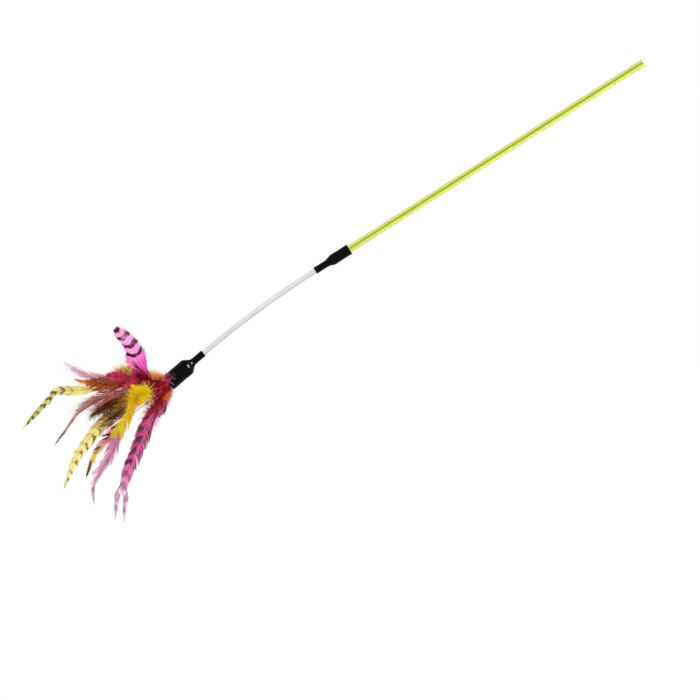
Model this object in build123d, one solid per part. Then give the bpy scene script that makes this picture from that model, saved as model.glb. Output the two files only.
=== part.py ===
from build123d import *

import os
from math import cos, dist, radians, sin, tan

# A cat teaser wand: a clear tinted rod, a black reducing sleeve, a springy white stem, a black bottle-shaped
# cap and a bunch of dyed feathers glued into the cap's mouth by their quills.
# Millimetres. The rod lies along X with its butt at +X and the lure at -X. +Z is up.
# The origin is on the rod's axis, in the middle of the grip.

# Handle rod
ROD_DIAMETER = 7.0
ROD_LENGTH = 350.0
GRIP_TO_BUTT = 45.0
BUTT_ROUND = 1.2
SPIGOT_STEP = 0.2
SOCKET_DEPTH = 15.0

# Joint sleeve, shrunk over the rod's spigot and the stem
SLEEVE_WALL = 1.85
SLEEVE_GRIP = 19.0
SLEEVE_TAPER = 5.2
SLEEVE_NECK_WALL = 0.95
SLEEVE_NECK = 14.3
SLEEVE_ROUND = 0.5
SHRINK_FIT = 0.02

# Stem: one springy rod, cut into short sections that hinge on each other as it bends
STEM_DIAMETER = 5.0
STEM_FREE = 132.0
STEM_SECTIONS = 7
STEM_SAG_DEGREES = 8.0
STEM_SWING_DEGREES = 20.0
STEM_CLEARANCE = 0.12

# Lure cap
CAP_DIAMETER = 16.7
CAP_WALL = 1.5
CAP_BODY = 22.3
CAP_SHOULDER = 7.6
CAP_NECK_WALL = 0.95
CAP_NECK = 13.8
CAP_ROUND = 0.7
STEM_IN_CAP = 9.0

# Quills and vanes
QUILL_DIAMETER = 1.2
QUILL_THICKNESS = 0.8
QUILL_DEPTH = 8.0
QUILL_CLEARANCE = 0.25
QUILL_EDGE = 0.35
VANE_EDGE = 0.3
TIP_WIDTH = 1.0
PLUME_WIDTH = 23.0
BROAD_WIDTH = 20.0
FULL_WIDTH = 16.0
HACKLE_WIDTH = 13.0
TRIM_WIDTH = 11.5
SLIM_WIDTH = 10.0

# Each feather's own length, root to tip along its quill
GOLDEN_LENGTH = 97.0
CRIMSON_LENGTH = 61.0
STRIPED_LENGTH = 133.0
MAGENTA_LENGTH = 144.0
WISPY_LENGTH = 142.0
YELLOW_LENGTH = 146.0
MAUVE_LENGTH = 129.0
RED_LENGTH = 86.0
DROOPING_LENGTH = 157.0
BROWN_LENGTH = 85.0
UPRIGHT_LENGTH = 73.0
PALE_LENGTH = 112.0
SOFT_LENGTH = 52.0
BACK_LENGTH = 102.0

# The feathers lie in planes that open like the pages of a book, from the near side (-Y) to the far side (+Y),
# so each can sway in its own plane and meet no other.
PAGE_TILT_DEGREES = 6.5
PAGE_DEPTH_SHARE = 0.935

# Where the vane starts on the quill, and its width from there to the tip, as (place, width) shares.
VANE_START_SHARE = 0.09
HACKLE_SHARES = ((0.12, 0.62), (0.3, 1.0), (0.58, 0.86), (0.82, 0.52))
PLUME_SHARES = ((0.16, 0.7), (0.42, 1.0), (0.7, 0.82), (0.9, 0.42))
BLUNT_SHARES = ((0.16, 0.55), (0.45, 1.0), (0.72, 0.72), (0.93, 0.45))
TUFTED_SHARES = ((0.16, 0.8), (0.3, 1.0), (0.56, 0.4), (0.72, 0.5), (0.88, 0.6))
KINKED_SHARES = ((0.36, 0.2), (0.48, 0.85), (0.62, 0.9), (0.7, 0.58), (0.9, 0.5))
SLENDER_SHARES = ((0.2, 0.6), (0.42, 1.0), (0.6, 0.6), (0.74, 0.26), (0.9, 0.2))

# Near side to far side: name, quill's height on the glue as a share, length, vane width, vane shape,
# the vane's roll about its quill at root and tip in degrees, and the quill's route as (forward, lift) shares.
FEATHER_SHARES = (
    ("golden_feather", -0.17, GOLDEN_LENGTH, PLUME_WIDTH, TUFTED_SHARES, (-15, -35),
     ((0.203, 0.051), (0.361, 0.094), (0.579, 0.035), (0.717, -0.011), (0.971, -0.037))),
    ("crimson_feather", 0.42, CRIMSON_LENGTH, PLUME_WIDTH, PLUME_SHARES, (0, -12),
     ((0.25, 0.23), (0.53, 0.5), (0.76, 0.66))),
    ("striped_feather", -0.34, STRIPED_LENGTH, SLIM_WIDTH, HACKLE_SHARES, (0, 50),
     ((0.39, 0.018), (0.531, -0.001), (0.673, -0.017), (0.797, -0.046), (0.973, -0.134))),
    ("magenta_feather", -0.83, MAGENTA_LENGTH, HACKLE_WIDTH, HACKLE_SHARES, (0, -30),
     ((0.175, -0.037), (0.395, -0.136), (0.587, -0.229), (0.72, -0.312), (0.875, -0.455))),
    ("wispy_feather", -0.58, WISPY_LENGTH, TRIM_WIDTH, HACKLE_SHARES, (0, 60),
     ((0.199, 0.013), (0.379, 0.012), (0.508, -0.039), (0.626, -0.099), (0.748, -0.138), (0.848, -0.194),
      (0.914, -0.278))),
    ("yellow_feather", -0.2, YELLOW_LENGTH, HACKLE_WIDTH, HACKLE_SHARES, (0, -25),
     ((0.31, 0.07), (0.567, 0.07), (0.776, 0.015), (0.96, -0.08))),
    ("mauve_feather", 0.17, MAUVE_LENGTH, TRIM_WIDTH, SLENDER_SHARES, (0, 40),
     ((0.28, 0.143), (0.513, 0.25), (0.603, 0.258), (0.735, 0.231), (0.933, 0.183))),
    ("red_feather", 0.88, RED_LENGTH, BROAD_WIDTH, PLUME_SHARES, (0, -20),
     ((0.166, 0.095), (0.321, 0.241), (0.489, 0.355), (0.643, 0.486), (0.756, 0.639))),
    ("drooping_feather", 0.51, DROOPING_LENGTH, HACKLE_WIDTH, KINKED_SHARES, (0, -70),
     ((0.332, 0.214), (0.485, 0.335), (0.558, 0.382), (0.603, 0.382), (0.717, 0.37), (0.879, 0.347))),
    ("brown_feather", 0.22, BROWN_LENGTH, FULL_WIDTH, PLUME_SHARES, (0, -35),
     ((0.31, 0.1), (0.62, 0.19), (0.96, 0.285))),
    ("upright_feather", 0.71, UPRIGHT_LENGTH, BROAD_WIDTH, BLUNT_SHARES, (0, 25),
     ((0.141, 0.13), (0.144, 0.305), (0.079, 0.505), (0.046, 0.702), (0.066, 0.925))),
    ("pale_feather", 0.3, PALE_LENGTH, TRIM_WIDTH, HACKLE_SHARES, (0, 60),
     ((0.28, 0.2), (0.516, 0.426), (0.6, 0.55), (0.662, 0.719))),
    ("soft_feather", -0.42, SOFT_LENGTH, HACKLE_WIDTH, PLUME_SHARES, (-10, -40),
     ((0.28, -0.1), (0.6, -0.2), (0.95, -0.3))),
    ("back_feather", 0.08, BACK_LENGTH, HACKLE_WIDTH, HACKLE_SHARES, (-20, -60),
     ((0.35, 0.1), (0.69, 0.12), (0.99, 0.04))),
)

# Places along the rod
rod_radius = ROD_DIAMETER / 2
spigot_radius = rod_radius - SPIGOT_STEP
stem_radius = STEM_DIAMETER / 2
butt_x = GRIP_TO_BUTT
rod_front_x = butt_x - ROD_LENGTH
shoulder_x = rod_front_x + SLEEVE_GRIP
socket_x = rod_front_x + SOCKET_DEPTH
sleeve_end_x = rod_front_x - SLEEVE_TAPER - SLEEVE_NECK

# The stem's hinges: the first and last lie half a pitch from the sleeve and from the cap.
hinge_count = STEM_SECTIONS - 1
hinge_pitch = STEM_FREE / hinge_count
hinge_turn = STEM_SAG_DEGREES / hinge_count
stem_gap = STEM_DIAMETER * tan(radians(STEM_SWING_DEGREES / 2)) + STEM_CLEARANCE


def heading(section):
    """The way a stem section points, each a little lower than the one before."""
    angle = radians(section * hinge_turn)
    return Vector(-cos(angle), 0, -sin(angle))


def place_hinges():
    """The hinge points from the sleeve outwards, then the start of the cap's neck."""
    point = Vector(sleeve_end_x, 0, 0) + heading(0) * (hinge_pitch / 2)
    points = [point]
    for section in range(1, hinge_count):
        point = point + heading(section) * hinge_pitch
        points.append(point)
    return points, point + heading(hinge_count) * (hinge_pitch / 2)


hinges, neck_start = place_hinges()
lure_forward = heading(hinge_count)
lure_lift = Vector(0, 1, 0).cross(lure_forward)
lure_frame = Plane(origin=neck_start, x_dir=lure_forward * -1, z_dir=lure_lift)

# The cap's own sizes, along its axis from the neck's start and out from the axis
bore_radius = stem_radius + SHRINK_FIT
cap_neck_radius = stem_radius + CAP_NECK_WALL
cap_radius = CAP_DIAMETER / 2
cavity_radius = cap_radius - CAP_WALL
cap_length = CAP_NECK + CAP_SHOULDER + CAP_BODY
cavity_start = CAP_NECK + CAP_WALL
cavity_full = CAP_NECK + CAP_SHOULDER + CAP_WALL
mouth = neck_start + lure_forward * cap_length

# Where the quills leave the glue
quill_radius = QUILL_DIAMETER / 2
seat_radius = cavity_radius - quill_radius - QUILL_EDGE
pivot_height = quill_radius + QUILL_CLEARANCE
middle_page = (len(FEATHER_SHARES) - 1) / 2


def quill_seat(page, lift_share):
    """A quill's place on the glue's face: depth along Y, then lift."""
    depth_share = PAGE_DEPTH_SHARE * (page - middle_page) / middle_page
    return seat_radius * depth_share, seat_radius * lift_share


def page_plane(page, lift_share):
    """The plane that a feather lies and sways in: X runs forward, Y lifts, and it sways about Z."""
    depth, lift = quill_seat(page, lift_share)
    tilt = radians(PAGE_TILT_DEGREES * (page - middle_page))
    forward = lure_forward * cos(tilt) + Vector(0, sin(tilt), 0)
    origin = mouth + lure_forward * pivot_height + lure_lift * lift + Vector(0, depth, 0)
    return Plane(origin=origin, x_dir=forward, z_dir=forward.cross(lure_lift))


def turned(points):
    """A solid of revolution about X from an outline of (place along X, radius)."""
    return revolve(make_face(Polyline(*points, close=True)), Axis.X)


def make_rod():
    """The clear rod: a rounded butt, a spigot for the sleeve and a socket for the stem."""
    rod = turned((
        (butt_x, 0),
        (butt_x, rod_radius),
        (shoulder_x, rod_radius),
        (shoulder_x, spigot_radius),
        (rod_front_x, spigot_radius),
        (rod_front_x, bore_radius),
        (socket_x, bore_radius),
        (socket_x, 0),
    ))
    butt_edge = rod.edges().filter_by(GeomType.CIRCLE).sort_by(Axis.X)[-1]
    return fillet(butt_edge, BUTT_ROUND)


def make_sleeve():
    """The black sleeve: wide over the spigot, tapered, then narrow over the stem."""
    wide = rod_radius + SLEEVE_WALL
    narrow = stem_radius + SLEEVE_NECK_WALL
    taper_end_x = rod_front_x - SLEEVE_TAPER
    sleeve = turned((
        (shoulder_x, spigot_radius + SHRINK_FIT),
        (shoulder_x, wide),
        (rod_front_x, wide),
        (taper_end_x, narrow),
        (sleeve_end_x, narrow),
        (sleeve_end_x, bore_radius),
        (rod_front_x, bore_radius),
        (rod_front_x, spigot_radius + SHRINK_FIT),
    ))
    rims = sleeve.edges().filter_by(GeomType.CIRCLE).sort_by(SortBy.RADIUS)[-2:]
    return fillet(rims, SLEEVE_ROUND)


def make_stem_section(section):
    """A straight section of the stem. The first is held in the rod's socket, the last in the cap."""
    way = heading(section)
    start = Vector(socket_x, 0, 0)
    end = neck_start + lure_forward * (CAP_NECK + STEM_IN_CAP)
    if section > 0:
        start = hinges[section - 1] + way * (stem_gap / 2)
    if section < hinge_count:
        end = hinges[section] - way * (stem_gap / 2)
    base = Align.CENTER, Align.CENTER, Align.MIN
    return Plane(origin=start, z_dir=way) * Cylinder(stem_radius, (end - start).length, align=base)


def make_cap():
    """The bottle-shaped cap: a neck shrunk on the stem, a round shoulder and an open body."""
    shoulder_end = CAP_NECK + CAP_SHOULDER
    flare = CAP_SHOULDER / 2
    outside = [
        Line((0, bore_radius), (0, cap_neck_radius)),
        Line((0, cap_neck_radius), (-CAP_NECK, cap_neck_radius)),
        Bezier((-CAP_NECK, cap_neck_radius), (-CAP_NECK - flare, cap_neck_radius),
               (-CAP_NECK - flare, cap_radius), (-shoulder_end, cap_radius)),
        Line((-shoulder_end, cap_radius), (-cap_length, cap_radius)),
    ]
    inside = Polyline((-cap_length, cap_radius), (-cap_length, cavity_radius), (-cavity_full, cavity_radius),
                      (-cavity_start, bore_radius), (0, bore_radius))
    cap = revolve(make_face([*outside, *inside.edges()]), Axis.X)
    rim = cap.edges().filter_by(GeomType.CIRCLE).group_by(Axis.X)[0].sort_by(SortBy.RADIUS)[-1]
    return lure_frame * fillet(rim, CAP_ROUND)


def quill_root(page, lift_share, radius):
    """A cylinder for one quill's root, from the glue's face inwards."""
    depth, lift = quill_seat(page, lift_share)
    base = Align.CENTER, Align.CENTER, Align.MIN
    start = mouth + lure_lift * lift + Vector(0, depth, 0)
    return Plane(origin=start, z_dir=lure_forward * -1) * Cylinder(radius, QUILL_DEPTH, align=base)


def make_glue():
    """The glue that fills the cap round the stem's end and the quills."""
    stem_end = CAP_NECK + STEM_IN_CAP
    glue = lure_frame * turned((
        (-cap_length, 0),
        (-cap_length, cavity_radius - SHRINK_FIT),
        (-cavity_full, cavity_radius - SHRINK_FIT),
        (-cavity_start - SHRINK_FIT, bore_radius),
        (-stem_end - SHRINK_FIT, bore_radius),
        (-stem_end - SHRINK_FIT, 0),
    ))
    for page, (_, lift_share, *_) in enumerate(FEATHER_SHARES):
        glue -= quill_root(page, lift_share, quill_radius + SHRINK_FIT)
    return glue


def make_quill_roots():
    """All the quill roots, as separate solids."""
    roots = [quill_root(page, row[1], quill_radius) for page, row in enumerate(FEATHER_SHARES)]
    return Compound(children=roots)


def quill_line(length, route_shares):
    """A quill's curve in its own plane, as long as the feather."""
    points = [(0, 0), *route_shares]
    size = length / sum(dist(a, b) for a, b in zip(points, points[1:]))
    return Spline(*[(forward * size, lift * size) for forward, lift in points])


def vane_section(quill, place, width, thickness, roll):
    """A flat six-sided section across the quill: thick at the shaft, thin at the vane's edges."""
    along = quill % place
    level = along.rotate(Axis.Z, 90)
    across = level * cos(radians(roll)) + Vector(0, 0, sin(radians(roll)))
    upright = along.cross(across)
    edge = upright * (min(VANE_EDGE, thickness) / 2)
    shaft = upright * (thickness / 2)
    middle = quill @ place
    left = middle + across * (width / 2)
    right = middle - across * (width / 2)
    corners = left - edge, left + edge, middle + shaft, right + edge, right - edge, middle - shaft
    return make_face(Polyline(*corners, close=True))


def make_feather(page, row):
    """One feather in its page: bare quill at the root, then a vane that rolls a little towards the tip."""
    _, lift_share, length, width, width_shares, (root_roll, tip_roll), route_shares = row
    quill = quill_line(length, route_shares)
    stations = [(0, QUILL_DIAMETER), (VANE_START_SHARE, QUILL_DIAMETER)]
    for place_share, width_share in width_shares:
        stations.append((VANE_START_SHARE + place_share * (1 - VANE_START_SHARE), width_share * width))
    stations.append((1, TIP_WIDTH))
    sections = []
    for place, across in stations:
        thickness = QUILL_THICKNESS + (VANE_EDGE - QUILL_THICKNESS) * place
        roll = root_roll + (tip_roll - root_roll) * place
        sections.append(vane_section(quill, place, across, thickness, roll))
    return page_plane(page, lift_share) * loft(sections)


def make_nodes():
    """Every piece of the wand under its node's name."""
    nodes = {"handle_rod": make_rod(), "joint_sleeve": make_sleeve()}
    for section in range(STEM_SECTIONS):
        nodes[f"stem_section_{section + 1}"] = make_stem_section(section)
    nodes["lure_cap"] = make_cap()
    nodes["glue_plug"] = make_glue()
    nodes["quill_roots"] = make_quill_roots()
    for page, row in enumerate(FEATHER_SHARES):
        nodes[row[0]] = make_feather(page, row)
    return nodes


def main():
    os.makedirs("parts", exist_ok=True)
    for name, shape in make_nodes().items():
        export_step(shape, f"parts/{name}.step")


main()
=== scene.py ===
from collections import namedtuple
from math import cos, pi, radians, sin, tan

import bpy
import numpy as np
from mathutils import Matrix, Vector


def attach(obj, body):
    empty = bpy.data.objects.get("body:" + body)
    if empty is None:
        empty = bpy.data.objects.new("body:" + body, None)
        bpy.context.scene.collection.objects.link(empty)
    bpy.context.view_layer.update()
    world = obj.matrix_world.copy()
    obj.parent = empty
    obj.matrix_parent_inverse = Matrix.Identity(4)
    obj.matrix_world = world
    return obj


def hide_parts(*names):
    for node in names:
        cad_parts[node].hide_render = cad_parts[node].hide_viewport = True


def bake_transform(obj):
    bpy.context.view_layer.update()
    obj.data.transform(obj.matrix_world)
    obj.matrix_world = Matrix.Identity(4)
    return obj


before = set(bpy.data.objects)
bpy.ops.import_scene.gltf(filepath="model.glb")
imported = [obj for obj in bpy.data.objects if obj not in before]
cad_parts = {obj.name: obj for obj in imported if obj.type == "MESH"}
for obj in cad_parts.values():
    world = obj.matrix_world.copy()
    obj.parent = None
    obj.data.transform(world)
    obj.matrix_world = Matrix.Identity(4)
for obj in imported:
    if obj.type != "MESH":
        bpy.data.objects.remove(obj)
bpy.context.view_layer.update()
bpy.ops.object.select_all(action="DESELECT")

# A cat teaser wand: clear tinted rod, black sleeve, springy white stem, black cap and dyed feathers.
# Sizes are in millimetres, as in the part's source, and MM brings them to metres.
# Lamps and finishes are set in metres.
MM = 0.001
ROD_RADIUS = 3.5
BUTT_X = 45.0
BUTT_ROUND = 1.2
SHOULDER_X = -286.0
SOCKET_X = -290.0
ROD_FRONT_X = -305.0
SLEEVE_END_X = -324.5
SPIGOT_RADIUS = 3.3
SHRINK_FIT = 0.02
BORE_RADIUS = 2.52
SLEEVE_WIDE = 5.35
SLEEVE_NECK = 3.45
SLEEVE_TAPER = 5.2
STEM_RADIUS = 2.5
STEM_SAG = 8.0
HINGE_COUNT = 6
HINGE_PITCH = 22.0
HINGE_TURN = STEM_SAG / HINGE_COUNT
CAP_NECK = 13.8
CAP_SHOULDER = 7.6
CAP_BODY = 22.3
CAP_NECK_RADIUS = 3.45
CAP_RADIUS = 8.35
CAVITY_RADIUS = 6.85
CAP_WALL = 1.5
STEM_IN_CAP = 9.0
SEAT_RADIUS = 5.9
PIVOT_HEIGHT = 0.85
QUILL_RADIUS = 0.6
PAGE_TILT = 6.5
PAGE_DEPTH_SHARE = 0.935
MIDDLE_PAGE = 6.5
VANE_START = 0.09
TIP_WIDTH = 1.0

# The photograph: where the grip's middle lies in it, its scale and how far the rod is turned
PICTURE_SIDE = 700
GRIP_PIXEL = (603.7, 87.9)
MM_PER_PIXEL = 0.95
ROD_SLOPE = 32.38
LENS = 200.0
SENSOR = 36.0
FAR_CLIP = 50000.0
FLOOR_X, FLOOR_Z = -300.0, -600.0
FLOOR_SIDE = 12000.0


def heading(section):
    """The way a stem section points, each a little lower than the one before."""
    angle = radians(section * HINGE_TURN)
    return Vector((-cos(angle), 0, -sin(angle)))


def stem_route():
    """The stem's hinges, and the middle of each section from the sleeve's end to the cap's neck."""
    hinges, middles = [], [Vector((SLEEVE_END_X, 0, 0))]
    for section in range(HINGE_COUNT):
        hinges.append(middles[-1] + heading(section) * (HINGE_PITCH / 2))
        middles.append(hinges[-1] + heading(section + 1) * (HINGE_PITCH / 2))
    return hinges, middles


hinges, middles = stem_route()
neck_start = middles[-1]
lure_forward = heading(HINGE_COUNT)
lure_lift = Vector((0, 1, 0)).cross(lure_forward)
cap_length = CAP_NECK + CAP_SHOULDER + CAP_BODY
mouth = neck_start + lure_forward * cap_length


def linear(*colour):
    """A colour written in 0 to 255 as a screen shows it, as a shader's colour."""
    shares = [c / 255 for c in colour]
    return (*[s / 12.92 if s <= 0.04045 else ((s + 0.055) / 1.055) ** 2.4 for s in shares], 1.0)


class Finish:
    """A material, with short ways to add nodes to it and to join them."""

    def __init__(self, name):
        self.material = bpy.data.materials.new(name)
        self.material.use_nodes = True
        self.tree = self.material.node_tree
        self.shader = self.tree.nodes["Principled BSDF"]

    def add(self, kind, inputs, **settings):
        """A new node. Inputs are values, or the outputs of other nodes."""
        node = self.tree.nodes.new(kind)
        for name, value in settings.items():
            setattr(node, name, value)
        self.join(node, inputs)
        return node

    def join(self, node, inputs):
        """Sets a node's inputs by name or number."""
        for name, value in inputs.items():
            if isinstance(value, bpy.types.NodeSocket):
                self.tree.links.new(value, node.inputs[name])
            else:
                node.inputs[name].default_value = value

    def math(self, operation, first, second=0.0):
        """The result of one sum."""
        return self.add("ShaderNodeMath", {0: first, 1: second}, operation=operation).outputs[0]

    def mix(self, share, first, second, blend="MIX"):
        """Two colours mixed."""
        inputs = {0: share, 6: first, 7: second}
        return self.add("ShaderNodeMix", inputs, data_type="RGBA", blend_type=blend).outputs[2]

    def noise(self, vector, scale, detail=3.0, roughness=0.5):
        """Cloudy noise from 0 to 1."""
        inputs = {"Vector": vector, "Scale": scale, "Detail": detail, "Roughness": roughness}
        return self.add("ShaderNodeTexNoise", inputs).outputs["Fac"]

    def stretched(self, vector, scale):
        """Coordinates stretched along each axis."""
        return self.add("ShaderNodeMapping", {"Vector": vector, "Scale": scale}).outputs["Vector"]

    def ramp(self, share, stops):
        """A colour read from a line of (place, colour) stops."""
        node = self.add("ShaderNodeValToRGB", {"Fac": share})
        while len(node.color_ramp.elements) < len(stops):
            node.color_ramp.elements.new(0.5)
        for element, (place, colour) in zip(node.color_ramp.elements, stops):
            element.position = place
            element.color = colour
        return node.outputs["Color"]

    def step(self, value, low, high, start=0.0, end=1.0):
        """A soft step from start to end as a value goes from low to high."""
        inputs = {"Value": value, "From Min": low, "From Max": high, "To Min": start, "To Max": end}
        return self.add("ShaderNodeMapRange", inputs, interpolation_type="SMOOTHSTEP").outputs["Result"]

    def bump(self, height, strength, distance):
        """Relief from a height."""
        inputs = {"Height": height, "Strength": strength, "Distance": distance}
        self.join(self.shader, {"Normal": self.add("ShaderNodeBump", inputs).outputs["Normal"]})

    def mottle(self, noise, colours, roughness, specular):
        """Colour and roughness that follow a noise."""
        self.join(self.shader, {
            "Base Color": self.mix(noise, *colours),
            "Roughness": self.step(noise, *roughness),
            "Specular IOR Level": specular,
        })

    def vane(self):
        """The Vane map's coordinates, whole and apart."""
        vane = self.add("ShaderNodeUVMap", {}, uv_map="Vane").outputs["UV"]
        shares = self.add("ShaderNodeSeparateXYZ", {"Vector": vane})
        return vane, shares.outputs["X"], shares.outputs["Y"]

    def place(self):
        """The piece's own coordinates."""
        return self.add("ShaderNodeTexCoord", {}).outputs["Object"]


def tinted_acrylic():
    """Clear yellow-green rod: solid, a little wavy along its length."""
    finish = Finish("tinted_acrylic")
    place = finish.place()
    waves = finish.noise(finish.stretched(place, (60, 900, 900)), 1.0)
    finish.join(finish.shader, {
        "Base Color": linear(158, 167, 58),
        "Roughness": finish.step(finish.noise(place, 350), 0.3, 0.7, 0.06, 0.13),
        "IOR": 1.49,
        "Transmission Weight": 1.0,
    })
    finish.bump(waves, 0.14, 0.0004)
    return finish.material


def black_rubber():
    """Soft black plastic: faintly mottled, and it shows only small bright lights."""
    finish = Finish("black_rubber")
    place = finish.place()
    mottle = finish.noise(place, 420, 4.0)
    finish.mottle(mottle, (linear(2, 2, 2), linear(8, 8, 9)), (0.25, 0.75, 0.12, 0.2), specular=0.05)
    finish.bump(finish.noise(place, 900, 5.0), 0.12, 0.0002)
    return finish.material


def milky_stem():
    """Milky white plastic with cloudy streaks."""
    finish = Finish("milky_stem")
    clouds = finish.noise(finish.stretched(finish.place(), (30, 150, 150)), 1.0, 2.0)
    colours = linear(188, 189, 190), linear(204, 205, 205)
    finish.mottle(clouds, colours, (0.3, 0.7, 0.28, 0.42), specular=0.4)
    finish.bump(clouds, 0.05, 0.0004)
    return finish.material


def hot_glue():
    """Set glue: cloudy amber, smooth and a little lumpy."""
    finish = Finish("hot_glue")
    clouds = finish.noise(finish.place(), 300, 3.0)
    colours = linear(196, 170, 110), linear(226, 208, 160)
    finish.mottle(clouds, colours, (0.3, 0.7, 0.2, 0.4), specular=0.5)
    finish.bump(clouds, 0.5, 0.0006)
    return finish.material


def quill_horn(name, colour):
    """A feather's shaft: horny, darker in streaks along it."""
    finish = Finish(name)
    streaks = finish.noise(finish.place(), 500, 2.0)
    dark = tuple(0.55 * c for c in colour[:3]) + (1.0,)
    finish.mottle(streaks, (dark, colour), (0.3, 0.7, 0.3, 0.5), specular=0.4)
    return finish.material


# How a vane is dyed: ground colours from root to tip, the bars' colour, count and share of the length,
# where they start and fade, how strong they are on the two sides, slivers of another colour, and the shaft
Dye = namedtuple("Dye", "ground bar bar_count bar_share bar_span bar_sides sliver sliver_share shaft")
# How a vane grows: barb spacing and width, sweep at the barb's root and tip in degrees, barbs to a clump,
# how ragged the clumps are in degrees, how much its edges droop, where along the shaft it starts and ends,
# and for a forked feather where the fork opens, where it is full and how far apart its branches are
NO_FORK = (2.0, 3.0, 0.0)
Vane = namedtuple("Vane", "spacing barb sweep clump ragged droop start end fork", defaults=[NO_FORK])
# A tuft of down: how many barbs, between which places, how long, their lean from the shaft and the way they
# stand round it in degrees, where 0 is the vane's first side and -90 its front, and their colours
Down = namedtuple("Down", "count span length lean around colours")
# A feather: its seat, size, outline, roll and route as in the part's source, then how it grows and is dyed
Feather = namedtuple("Feather", "name slot lift length width shape roll route vane downs dye")

HACKLE = ((0.12, 0.62), (0.3, 1.0), (0.58, 0.86), (0.82, 0.52))
PLUME = ((0.16, 0.7), (0.42, 1.0), (0.7, 0.82), (0.9, 0.42))
BLUNT = ((0.16, 0.55), (0.45, 1.0), (0.72, 0.72), (0.95, 0.48))
TUFTED = ((0.16, 0.8), (0.3, 1.0), (0.56, 0.4), (0.72, 0.5), (0.88, 0.6))
KINKED = ((0.36, 0.2), (0.48, 0.85), (0.62, 0.9), (0.7, 0.58), (0.9, 0.5))
SLENDER = ((0.2, 0.6), (0.42, 1.0), (0.6, 0.6), (0.74, 0.26), (0.9, 0.2))

CLOSE = Vane(0.34, 0.55, (44, 18), 9, 1.8, 0.1, 0.07, 0.985)
LOOSE = Vane(0.42, 0.5, (40, 15), 6, 4, 0.1, 0.07, 0.985)
WISPY = Vane(0.5, 0.4, (30, 8), 5, 5, 0.1, 0.07, 0.985)
SPREAD = (30, 80)
TRAILING = (5, 20)
ROUND = (0, 360)
FIRST_SIDE = (-50, 50)
SECOND_SIDE = (125, 235)

MAROON_DOWN = ((108, 0, 22), (194, 4, 48), (234, 16, 82))
CRIMSON_DOWN = ((160, 4, 30), (232, 18, 74), (248, 62, 132))
OLIVE_DOWN = ((92, 54, 12), (128, 84, 16), (170, 126, 30))
BROWN_DOWN = ((112, 38, 4), (150, 62, 10), (180, 94, 24))
DARK_DOWN = ((48, 16, 10), (72, 30, 18), (104, 62, 34))
GOLD_DOWN = ((255, 212, 0), (255, 232, 0), (255, 242, 50))
CREAM_DOWN = ((190, 130, 30), (228, 190, 70), (246, 228, 120))
PINK_DOWN = ((226, 70, 150), (248, 130, 204), (254, 196, 232))
PALE_DOWN = ((204, 132, 162), (222, 184, 202), (232, 218, 226))
PEACH_DOWN = ((246, 130, 30), (252, 184, 90), (255, 222, 150))
ORANGE_DOWN = ((232, 96, 0), (254, 140, 0), (255, 180, 40))
MAUVE_DOWN = ((124, 54, 44), (184, 108, 90), (220, 168, 150))
GREY_DOWN = ((126, 44, 26), (172, 84, 54), (206, 150, 124))

YELLOW_DYE = Dye(
    ((0.0, (92, 54, 8)), (0.3, (130, 84, 12)), (0.42, (84, 48, 8)), (0.48, (170, 132, 34)),
     (0.54, (246, 234, 146)), (0.94, (248, 240, 166)), (1.0, (120, 110, 60))),
    (96, 74, 26), 15, 0.32, (0.46, 1.0), (0.3, 0.85), (255, 252, 206), 0.3, (190, 164, 80))


def root_down(count, end, length, colours):
    """A tuft all round the shaft from its root on."""
    return Down(count, (0.0, end), length, SPREAD, ROUND, colours)


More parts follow.
